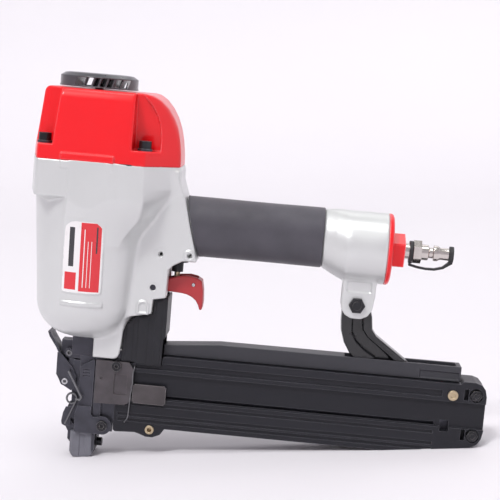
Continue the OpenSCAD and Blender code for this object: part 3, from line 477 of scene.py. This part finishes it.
def pull(field, points, step):
    """Moves points onto the field's surface along its slope."""
    small, reach, flattest = 0.05 * step, 0.5 * step, 0.25
    here = field(*points.T)
    slope = np.stack([
        field(*(points + small * axis).T) - field(*(points - small * axis).T) for axis in np.eye(3)
    ], 1) / (2 * small)
    size = np.maximum((slope ** 2).sum(1), flattest)
    move = np.clip(here / size, -reach, reach)
    return points - slope * move[:, None]


def new_piece(name, mesh, body, material, replaced=()):
    piece = bpy.data.objects.new(name, mesh)
    scene.collection.objects.link(piece)
    mesh.materials.append(material)
    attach(piece, body)
    if replaced:
        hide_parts(*replaced)
    return piece


def cast(name, field, low, high, step, body, material, replaced):
    """Meshes a field, keeps it inside the CAD's box and hangs it on a body."""
    points, quads = surface_net(lambda x, y, z: field((x, y, z)), low, high, step)
    points = np.clip(points, np.array(cad_box[0]) / MM, np.array(cad_box[1]) / MM)
    mesh = bpy.data.meshes.new(name)
    mesh.from_pydata((points * MM).tolist(), [], quads.tolist())
    mesh.validate()
    mesh.shade_smooth()
    return new_piece(name, mesh, body, material, replaced)


# ---------------------------------------------------------------- housing

SEAM = 211.5  # between the housing and the cap
BARREL_FOOT = 113  # the round bottom ends here and the taper starts
HEAD_FOOT = 187  # the taper ends here and the head starts
NOTCH_FLOOR = 221.5
CAP_TOP = 260.5
HANDLE_Z = 170.4
EXHAUST_X = -2.5
SCREWS = ((-32, 30), (36, 30))  # x and y, on both sides
VALVE_PIN = (50.7, 150.9)  # x and z, like the next two
TRIGGER_PIVOT = (47.0, 127.2)
BRACKET_BOLT = (188.5, 126.8)


def y_cylinder(p, x, z, r, y0, y1, edge=0.0):
    return prism(np.hypot(p[0] - x, p[2] - z) - r, span(p[1], y0, y1), edge)


def z_cylinder(p, x, y, r, z0, z1):
    return prism(np.hypot(p[0] - x, p[1] - y) - r, span(p[2], z0, z1))


def head_plan(x, y):
    """Plan of the head: square in front and tapering behind."""
    return outline(x, y, [
        (-44, -4), (-38.6, -26), (-36.4, -36), (-34.5, -41), (14, -41), (27, -40.2), (37.5, -38), (60, -15),
        (60, 15), (37.5, 38), (27, 40.2), (14, 41), (-34.5, 41), (-36.4, 36), (-38.6, 26), (-44, 4)], 2.5)


def wall_radius(z):
    """Radius of the tapered barrel."""
    return np.interp(z, [BARREL_FOOT, HEAD_FOOT], [36, 41.2])


def barrel(x, y, z):
    """Tapered barrel with a round bottom."""
    r = wall_radius(z)
    r = np.where(z < BARREL_FOOT, 11 + 25 * np.sqrt(np.clip(1 - ((BARREL_FOOT - z) / 26) ** 2, 0, 1)), r)
    wall = (np.hypot(x, y) - r) * np.where(z < BARREL_FOOT, 0.75, 1)
    return np.maximum(wall, np.maximum(87 - z, z - 209))


def rear_column(x, y, z):
    """The head's rear corners, which run down and forwards into the barrel."""
    back = np.interp(z, [105, 135, 155, 167, 180, 190, 196], [28, 33, 38, 45, 50.5, 57, 60])
    corner = 25.5 + 12.5 * ease(z, 153, 177)
    u = np.where(x < corner, x * 38 / corner, 38 + (x - corner) * 22 / (back - corner))
    u = np.where(x < 0, x, u)
    shrink = 9.5 * (1 - ease(z, 154, 190)) + 0.9 * np.maximum(155 - z, 0)
    plan = (head_plan(u, y) + shrink) * 0.7
    return np.maximum(np.maximum(plan, -12 - x), z - SEAM)


def handle_section(y, z):
    """Distance from the flat core that the handle and the grip are rounded about."""
    return np.hypot(np.maximum(np.abs(z - HANDLE_Z) - 3.1, 0), y)


def housing(p):
    x, y, z = p[0], np.abs(p[1]), p[2]
    q = (x, y, z)
    solid = barrel(x, y, z)
    front = head_plan(x, y) + 2.4 * np.maximum(HEAD_FOOT - z, 0)
    front = np.maximum(np.where(z < HEAD_FOOT, front * 0.4, front), np.maximum(z - SEAM, x - 20))
    solid = join(solid, rear_column(x, y, z), 6)
    solid = join(solid, front, 0.8)
    # plate between the head and the handle
    neck = [
        (0, 110), (15, 104.5), (29, 104.5), (47.2, 108.3), (47.8, 118.6), (56.5, 120.4), (56.7, 140),
        (60, 143.5), (66, 147), (76, 147), (75.6, 149.2), (64.6, 190), (62.4, 196), (60, 203), (60, 209),
        (0, 209)]
    section = outline(x, z, neck, 1.2)
    solid = join(solid, prism(section, y - 18 - 2.5 * ease(z, 190, 205), 1.3), 2.2)
    # handle core, bell and its lug
    solid = join(solid, prism(handle_section(y, z) - 15.5, span(x, 50, 165), 0.5), 0.5)
    along = ease(x, 161.5, 181)
    centre = 170.2 - 3.9 * np.clip((x - 161.5) / 17, 0, 1)
    radius = np.hypot(y * (1 + 0.17 * (1 - along)), z - centre)
    bell = [(-1, 161.7), (20.3, 161.7), (21.1, 163.5), (23.2, 170), (24.9, 178), (24.9, 205.7), (-1, 205.7)]
    bell = outline(radius, x, bell, 1.0) * 0.9
    lug = prism(outline(x, z, [
        (177.7, 150), (177.7, 124), (180.5, 119.5), (185, 117.2), (192, 117.2), (196.6, 119.5), (199.4, 124),
        (200.6, 133), (201, 150)], 2.5), span(y, -12, 12), 0.8)
    recess = outline(x, z, [(180.6, 136), (197.4, 136), (197.4, 143.5), (180.6, 143.5)], 0.6)
    lug = cut(lug, prism(recess, 11 - y, 0.2), 0.4)
    lug = cut(lug, prism(span(x, 170, 210), np.maximum(y - 6.7, z - 139)))
    solid = join(solid, join(bell, lug, 2.0), 0.8)
    # tongue and neck at the bottom
    tongue = [(8.2, 74), (22.5, 74), (25.4, 75), (26.8, 77.8), (27.6, 84), (29, 105), (8.2, 105)]
    solid = join(solid, prism(outline(x, z, tongue, 0.8), span(y, 13.4, 16.7), 1.2), 4)
    solid = join(solid, block(q, (-7.7, 8), (-9, 9), (86.4, 95), 0.6), 1.5)
    # seam pad, rib, pin bosses and pin holes
    solid = join(solid, block(q, (-19, 17), (38, 41.9), (206, SEAM), 0.4), 0.4)
    rib = np.hypot(x, y) - 37.1
    ends = np.maximum(span(x, -14, 15), np.maximum(span(z, 112.4, 115.6), 20 - y))
    solid = join(solid, prism(rib, ends, 0.7), 0.6)
    solid = join(solid, y_cylinder(q, 70.5, 151.4, 3.9, 16, 18.8, 0.6), 0.8)
    for spot, r in ((VALVE_PIN, 3.4), (TRIGGER_PIVOT, 3.2)):
        solid = join(solid, y_cylinder(q, *spot, r, 16, 18.4, 0.35), 0.5)
    for spot, r in (((70.7, 151.4), 1.75), (VALVE_PIN, 1.75), (TRIGGER_PIVOT, 2.1)):
        solid = cut(solid, y_cylinder(q, *spot, r, 15.5, 30), 0.3)
    # raised arch by the guard, room for the valve and the screw holes
    legs = np.maximum(span(x, 37.4, 44.6), span(z, 108.6, 113.2))
    arch = np.minimum(np.hypot(x - 41, z - 113.2) - 3.6, legs)
    solid = join(solid, prism(np.abs(arch) - 0.75, span(y, 16, 19.1), 0.4), 0.4)
    solid = cut(solid, block(q, (43, 61), (-8, 8), (100, 141), 0.5), 0.3)
    for sx, sy in SCREWS:
        solid = cut(solid, z_cylinder(q, sx, sy, 3.1, 205, 215))
    # inside: air chamber, driver slot, valve bore, handle passage and the end cap's seat
    room = [(-1, 95), (23, 95), (27, 104), (31, 113), (31, 140), (35, 150), (35, 214), (-1, 214)]
    solid = cut(solid, outline(np.hypot(x, y), z, room))
    solid = cut(solid, block(q, (-1.2, 1.2), (-5.9, 5.9), (60, 110)))
    solid = cut(solid, z_cylinder(q, 61.5, 0, 7.5, 135, 166))
    solid = cut(solid, prism(np.hypot(y, z - HANDLE_Z) - 11, span(x, 42, 210)))
    solid = cut(solid, prism(np.hypot(y, z - 166.3) - 21.2, 196 - x))
    # raised frame round the name plate
    plate = [(-13.4, 121.8), (13.4, 121.8), (13.4, 171.9), (-13.4, 171.9)]
    label = np.maximum(outline(x, z, plate, 2.0), 10 - y)
    surface = np.hypot(x, y) - wall_radius(z)
    return join(solid, prism(np.abs(label) - 0.55, surface - 0.75, 0.3), 0.5)


cast(
    "housing_casting", housing, (-46, -43, 72), (207, 43, 212), 0.9, "tool", silver_paint,
    ["body_housing"])


# ---------------------------------------------------------------- head

def notch(x, y, z):
    """Corner notches above the cap screws that leave room for a hex key."""
    height = z - NOTCH_FLOOR
    corner = [(-64, 17), (-42, 20), (-34, 22.5), (-25.3, 22.5), (-25.3, 70), (-64, 70)]
    front = outline(x - 0.09 * height, y, corner, 4.0)
    sweep = 16.5 * (1 - np.clip(height / 40, 0, 1) ** 3)
    rear = np.maximum(np.maximum(28 - x, x - 29.5 - sweep), 22.5 + 0.15 * height - y)
    return np.maximum(np.minimum(front, rear * 0.7), -height)


def cap(p):
    x, y, z = p[0], np.abs(p[1]), p[2]
    side = [
        (-45, 208), (61, 208), (60, 222), (58.6, 229), (56.4, 236.5), (53.2, 244), (49, 250.5), (44, 255.6),
        (38, 259.2), (34, CAP_TOP), (-34, CAP_TOP), (-38.2, 257), (-39.5, 246), (-42, 230), (-44.2, 221.4)]
    across = [
        (-41.9, 208), (41.9, 208), (41.2, 222), (38.8, 245), (37.3, 254), (33, CAP_TOP), (-33, CAP_TOP),
        (-37.3, 254), (-38.8, 245), (-41.2, 222)]
    plan = head_plan(x, y)
    lean = 0.10 * np.maximum(z - 217, 0) + np.maximum(SEAM + 0.2 - z, 0)
    solid = meet(np.maximum(plan + lean, -45 - x), outline(x, z, side, 3.0), 3.5)
    solid = meet(solid, outline(y, z, across, 3.0), 3.5)
    solid = np.maximum(solid, SEAM - 1.5 - z)
    solid = cut(solid, notch(x, y, z), 1.3)
    solid = cut(solid, z_cylinder(p, 0, 0, 30.2, 200, 246))
    solid = cut(solid, z_cylinder(p, EXHAUST_X, 0, 7, 240, 270), 0.5)
    tab = block((x, y, z), (-19, 17), (38, 41.9), (SEAM, 216.5), 0.4)
    return join(solid, tab, 0.4)


cast(
    "cap_casting", cap, (-45, -43, 209), (61, 43, 262), 0.8, "tool", red_paint,
    ["cylinder_cap"])


def deflector(p):
    """A cover with a blank front, fins round its sides and windows that show right through."""
    x, y, z = p[0] - EXHAUST_X, p[1], p[2]
    low, high = box_mm("exhaust_deflector")
    base, top = low[2], high[2]
    r = np.hypot(x, y)
    roof = [(-1, base + 6.6), (26.9, base + 6.6), (26.6, base + 7.2), (23.5, top - 0.4), (21, top), (-1, top)]
    crown = outline(r, z, roof, 0.4)
    crown = cut(crown, np.maximum(np.abs(r - 14.5) - 4, top - 0.8 - z), 0.3)
    foot = outline(r, z, [(20, base), (27.2, base), (27.0, base + 0.9), (20, base + 0.9)], 0.3)
    solid = join(crown, foot, 0.3)
    height = span(z, base, base + 7)
    lean = 0.3 * (z - base)
    rim = np.maximum(height, np.maximum(r - 26.6, 19 - r))
    fins = ((-6.8, 0.45), (-1.2, 0.7), (3.2, 0.7), (7.8, 0.7), (12.2, 0.7), (17.2, 0.45))
    for place, width in fins:
        solid = join(solid, np.maximum(span(x - lean, place - width, place + width), rim), 0.3)
    filled = np.minimum(x - lean + 13, np.maximum(span(x - lean, -1, 12), np.abs(y) - 15))
    filled = np.minimum(filled, 21.5 - x + lean)
    solid = join(solid, np.maximum(filled, np.maximum(height, r - 26.8)), 0.3)
    solid = cut(solid, r - 3.3)
    return cut(solid, np.maximum(r - 6.8, base + 6.2 - z), 0.2)


cast(
    "deflector_moulding", deflector, (-31, -29, 260), (27, 29, 271), 0.4, "exhaust_top",
    vent_plastic_painted_highlights, ["exhaust_deflector"])


# ---------------------------------------------------------------- handle

def grip(p):
    x, y, z = p
    section = handle_section(y, z)
    outer = section - (17.9 - 0.25 * ease(x, 70, 120) + 0.2 * ease(x, 120, 158))
    front = outline(x, z, [(64.6, 195), (76.2, 148), (170, 148), (170, 195)], 0.3)
    slab = np.maximum(front, x - 161.4)
    tube = meet(outer, slab, 1.2)
    lip = meet(section - 18.0, np.maximum(slab, x - (66.8 + (190 - z) * 0.275)), 0.8)
    return cut(join(tube, lip, 0.6), section - 15.7)


cast(
    "grip_moulding", grip, (63, -19, 148), (163, 19, 193), 0.9, "tool", grip_rubber,
    ["grip_sleeve"])


# ---------------------------------------------------------------- support

def bracket(p):
    x, y, z = p[0], np.abs(p[1]), p[2]
    q = (x, y, z)
    whole = [
        (179, 126), (179, 116), (179.6, 108), (182.6, 98), (187.5, 90.5), (190.6, 87), (190.6, 81), (232, 81),
        (232, 86), (228.7, 88.2), (214, 98), (204.5, 104.6), (201.3, 109), (200.2, 118), (198, 126)]
    solid = prism(outline(x, z, whole, 1.0), y - 2.6, 0.8)
    eye = y_cylinder(q, *BRACKET_BOLT, 8.6, -6.4, 6.4, 0.6)
    left = [
        (179, 126), (178.9, 114), (179.6, 107), (182.2, 99), (186.8, 91.6), (190.4, 88), (201, 88),
        (206, 89.5), (196, 95.5), (190.6, 100.5), (187.4, 106), (186.6, 118), (187, 126)]
    right = [
        (193.6, 126), (193.8, 117), (194.8, 109), (198.6, 103.8), (213, 93.2), (219, 88.6), (228.2, 88.4),
        (214, 98.4), (204.6, 105), (201.3, 109.4), (200.3, 118), (198, 126)]
    for rib in (left, right):
        solid = join(solid, prism(outline(x, z, rib, 0.8), y - 6.2, 1.4), 1.2)
        bead = np.maximum(np.abs(outline(x, z, rib, 0.8) + 1.0) - 0.5, y - 6.4)
        solid = join(solid, bead, 0.5)
    solid = join(solid, eye, 1.0)
    solid = join(solid, block(q, (190.4, 261.6), (-5.3, 5.3), (80.9, 84.9), 0.7), 1.0)
    for sx in (238, 254):
        solid = cut(solid, z_cylinder(q, sx, 0, 2.6, 70, 90))
    return cut(solid, y_cylinder(q, *BRACKET_BOLT, 3.1, -20, 20))


cast(
    "bracket_casting", bracket, (177, -7.5, 80), (263, 7.5, 137), 0.7, "tool", bracket_coat,
    ["support_bracket"])


# ---------------------------------------------------------------- trigger and guard

def trigger_shape(p):
    x, y, z = p[0], np.abs(p[1]), p[2]
    q = (x, y, z)
    shape = [
        (47.5, 124), (60.8, 123.4), (66, 123.1), (70, 122.4), (73.5, 120.9), (76.4, 118.6), (78.2, 115.6),
        (79.3, 112.4), (81, 112.4), (81.5, 118), (81, 126), (79.7, 132.8), (76, 134.9), (71, 135.8),
        (64, 135.2), (57.2, 133), (47.5, 130.4)]
    solid = prism(outline(x, z, shape, 0.7), y - 6.5, 1.0)
    hollow = np.maximum(y - 4.2, np.maximum(124.8 - z, x - 76.8))
    mouth = np.maximum(y - 4.2, x - 57)
    solid = cut(solid, np.minimum(hollow, mouth), 0.4)
    eye = np.maximum(y_cylinder(q, *TRIGGER_PIVOT, 3.6, -6.5, 6.5, 0.3), 4.2 - y)
    solid = join(solid, eye, 0.6)
    solid = cut(solid, y_cylinder(q, *TRIGGER_PIVOT, 2.05, -20, 20))
    return cut(solid, y_cylinder(q, 74, 129.7, 1.25, -20, 20), 0.3)


cast(
    "trigger_moulding", trigger_shape, (42, -7.5, 111), (83, 7.5, 137), 0.5, "trigger_body",
    trigger_red, ["trigger"])


def guard(p):
    x, y, z = p[0], np.abs(p[1]), p[2]
    shape = [
        (27.8, 72.6), (37.6, 72.6), (38.4, 71), (56.6, 71), (56.6, 90), (58, 92), (58, 121), (56.8, 120),
        (48.2, 118.2), (47.5, 107.9), (36, 105), (33, 102), (28.4, 98.5)]
    solid = prism(outline(x, z, shape, 0.8), y - 14.0, 0.8)
    for rx, width in ((33, 4.5), (42, 7), (52.6, 4.5)):
        strip = np.maximum(span(x, rx - width / 2, rx + width / 2), outline(x, z, inset(shape, 1.2), 0.5))
        solid = join(solid, prism(strip, y - 14.6, 0.5), 0.6)
    hollow = np.minimum(
        block((x, y, z), (20, 56), (-12.5, 12.5), (60, 98)),
        np.minimum(
            block((x, y, z), (20, 56), (-13, 13), (97, 130)),
            block((x, y, z), (50, 60), (-12.5, 12.5), (60, 91))))
    return cut(solid, hollow)


cast(
    "guard_moulding", guard, (27, -15.5, 70), (59, 15.5, 122), 0.55, "tool", black_plastic,
    ["safety_guard"])


# ---------------------------------------------------------------- nose pad

def pad(p):
    x, y, z = p[0], np.abs(p[1]), p[2]
    sole = [
        (-5, 18.5), (-5, 3.6), (-3.8, 1.6), (-1.8, 0), (3.2, 0), (8.8, 0.7), (11, 1.3), (11.8, 2.3),
        (11.8, 4.6), (11.4, 5.4), (11.4, 18.5)]
    plan = [(-5, -9.6), (-2.6, -11.7), (14, -11.7), (14, 11.7), (-2.6, 11.7), (-5, 9.6)]
    solid = meet(outline(x, z, sole, 0.6), outline(x, y, plan, 0.5), 1.0)
    ridge = np.maximum(span(x, 2.6, 6.4), np.maximum(11.1 - y, z - 17))
    solid = cut(solid, ridge, 0.6)
    solid = cut(solid, block((x, y, z), (-10, 9.9), (-7.8, 7.8), (-2, 20)))
    return cut(solid, prism(np.hypot(y, z - 9.5) - 1.6, span(x, 9, 15)))


cast(
    "pad_moulding", pad, (-6.5, -13, -1.5), (14, 13, 20), 0.4, "contact", pad_rubber,
    ["nose_pad"])


# ---------------------------------------------------------------- stop wire

def wire_piece(name, points, r, body, material):
    """Wire with a ten-sided section, swept along a row of points."""
    sides = 10
    points = [Vector(v) for v in points]
    verts, faces = [], []
    for i, point in enumerate(points):
        ahead = (points[min(i + 1, len(points) - 1)] - points[max(i - 1, 0)]).normalized()
        across = ahead.cross(Vector((0, 1, 0))).normalized()
        other = across.cross(ahead)
        for k in range(sides):
            a = 2 * math.pi * k / sides
            verts.append((point + (across * math.cos(a) + other * math.sin(a)) * r) * MM)
    for i in range(len(points) - 1):
        for k in range(sides):
            a, b = i * sides + k, i * sides + (k + 1) % sides
            faces.append((a, b, b + sides, a + sides))
    faces += [tuple(range(sides))[::-1], tuple(range(len(verts) - sides, len(verts)))]
    mesh = bpy.data.meshes.new(name)
    mesh.from_pydata(verts, [], faces)
    mesh.validate()
    mesh.shade_smooth()
    return new_piece(name, mesh, body, material)


wire_piece(
    "stop_wire", [
        (38.2, -12.4, 69.6), (37.9, -13.2, 68.4), (37.1, -13.6, 65), (37.4, -13.8, 57), (36.8, -14.4, 54.6),
        (37.2, -14.6, 52.6), (36.6, -14.4, 50.4), (36.3, -13.6, 45), (36, -13.2, 38), (35.7, -13, 33),
        (35, -13, 31.2), (33.2, -12.9, 28.6)],
    0.5, "tool", oiled_spring)


# ---------------------------------------------------------------- stage and light

FLOOR_TILT = math.radians(6.97)  # brings the floor to the nose pad and to the foot
FLOOR_SPOT = (0.0025, 0, -0.0002)  # in metres


def make_stage():
    """A pale floor under the nose pad and the foot, which curves up far away."""
    # radius and height, in metres
    profile = [
        (0.0, 0.0), (1.0, 0.0), (2.0, 0.0), (2.6, 0.02), (3.2, 0.16), (3.7, 0.5), (4.0, 1.0), (4.1, 1.6),
        (4.1, 3.4)]
    steps = 64
    verts = [(0, 0, 0)]
    faces = []
    for r, h in profile[1:]:
        for i in range(steps):
            a = 2 * math.pi * i / steps
            verts.append((r * math.cos(a), r * math.sin(a), h))
    for i in range(steps):
        faces.append((0, 1 + i, 1 + (i + 1) % steps))
    for ring in range(len(profile) - 2):
        a = 1 + ring * steps
        for i in range(steps):
            k = (i + 1) % steps
            faces.append((a + i, a + steps + i, a + steps + k, a + k))
    mesh = bpy.data.meshes.new("floor")
    mesh.from_pydata(verts, [], faces)
    mesh.shade_smooth()
    floor = bpy.data.objects.new("floor", mesh)
    scene.collection.objects.link(floor)
    floor.rotation_euler = (0, -FLOOR_TILT, 0)
    floor.location = FLOOR_SPOT
    material, tree, shader = new_material("floor_paper")
    place = add(tree, "ShaderNodeTexCoord")
    split = add(tree, "ShaderNodeSeparateXYZ")
    tree.links.new(place.outputs["Object"], split.inputs[0])
    # painted shade: the floor gets darker towards the back, which offsets the stronger light on the far curve
    painted_shade_towards_back = spread(tree, split.outputs["Y"], 0.0, 1.0, (-0.2, 1.6))
    shade = blend_colours(tree, painted_shade_towards_back, (0.805, 0.778, 0.813), (0.727, 0.702, 0.734))
    lighter = blend_colours(tree, painted_shade_towards_back, (0.819, 0.792, 0.827), (0.741, 0.716, 0.748))
    tone = blend_colours(tree, noise(tree, place.outputs["Object"], 3.0), shade, lighter)
    tree.links.new(tone, shader.inputs["Base Color"])
    shader.inputs["Roughness"].default_value = 0.75
    shader.inputs["Specular IOR Level"].default_value = 0.15
    mesh.materials.append(material)


def make_light():
    world = bpy.data.worlds.new("studio")
    world.use_nodes = True
    world.node_tree.nodes["Background"].inputs["Color"].default_value = (0.965, 0.97, 0.98, 1)
    place = add(world.node_tree, "ShaderNodeTexCoord")
    split = add(world.node_tree, "ShaderNodeSeparateXYZ")
    world.node_tree.links.new(place.outputs["Generated"], split.inputs[0])
    strength = spread(world.node_tree, split.outputs["X"], 0.78, 0.40, (-1, 1))
    world.node_tree.links.new(strength, world.node_tree.nodes["Background"].inputs["Strength"])
    scene.world = world
    suns = [
        ("key", (-0.45, -0.72, 0.95), 1.7, 14), ("fill", (0.7, -0.8, 0.25), 0.2, 40),
        ("back", (0.2, 0.7, 0.8), 0.25, 30), ("top", (0.0, -0.2, 1.0), 0.6, 24)]
    for name, direction, energy, angle in suns:
        data = bpy.data.lights.new(name, "SUN")
        data.energy = energy
        data.angle = math.radians(angle)
        lamp = bpy.data.objects.new(name, data)
        scene.collection.objects.link(lamp)
        lamp.rotation_mode = "QUATERNION"
        lamp.rotation_quaternion = Vector(direction).to_track_quat("Z", "Y")


make_stage()
make_light()
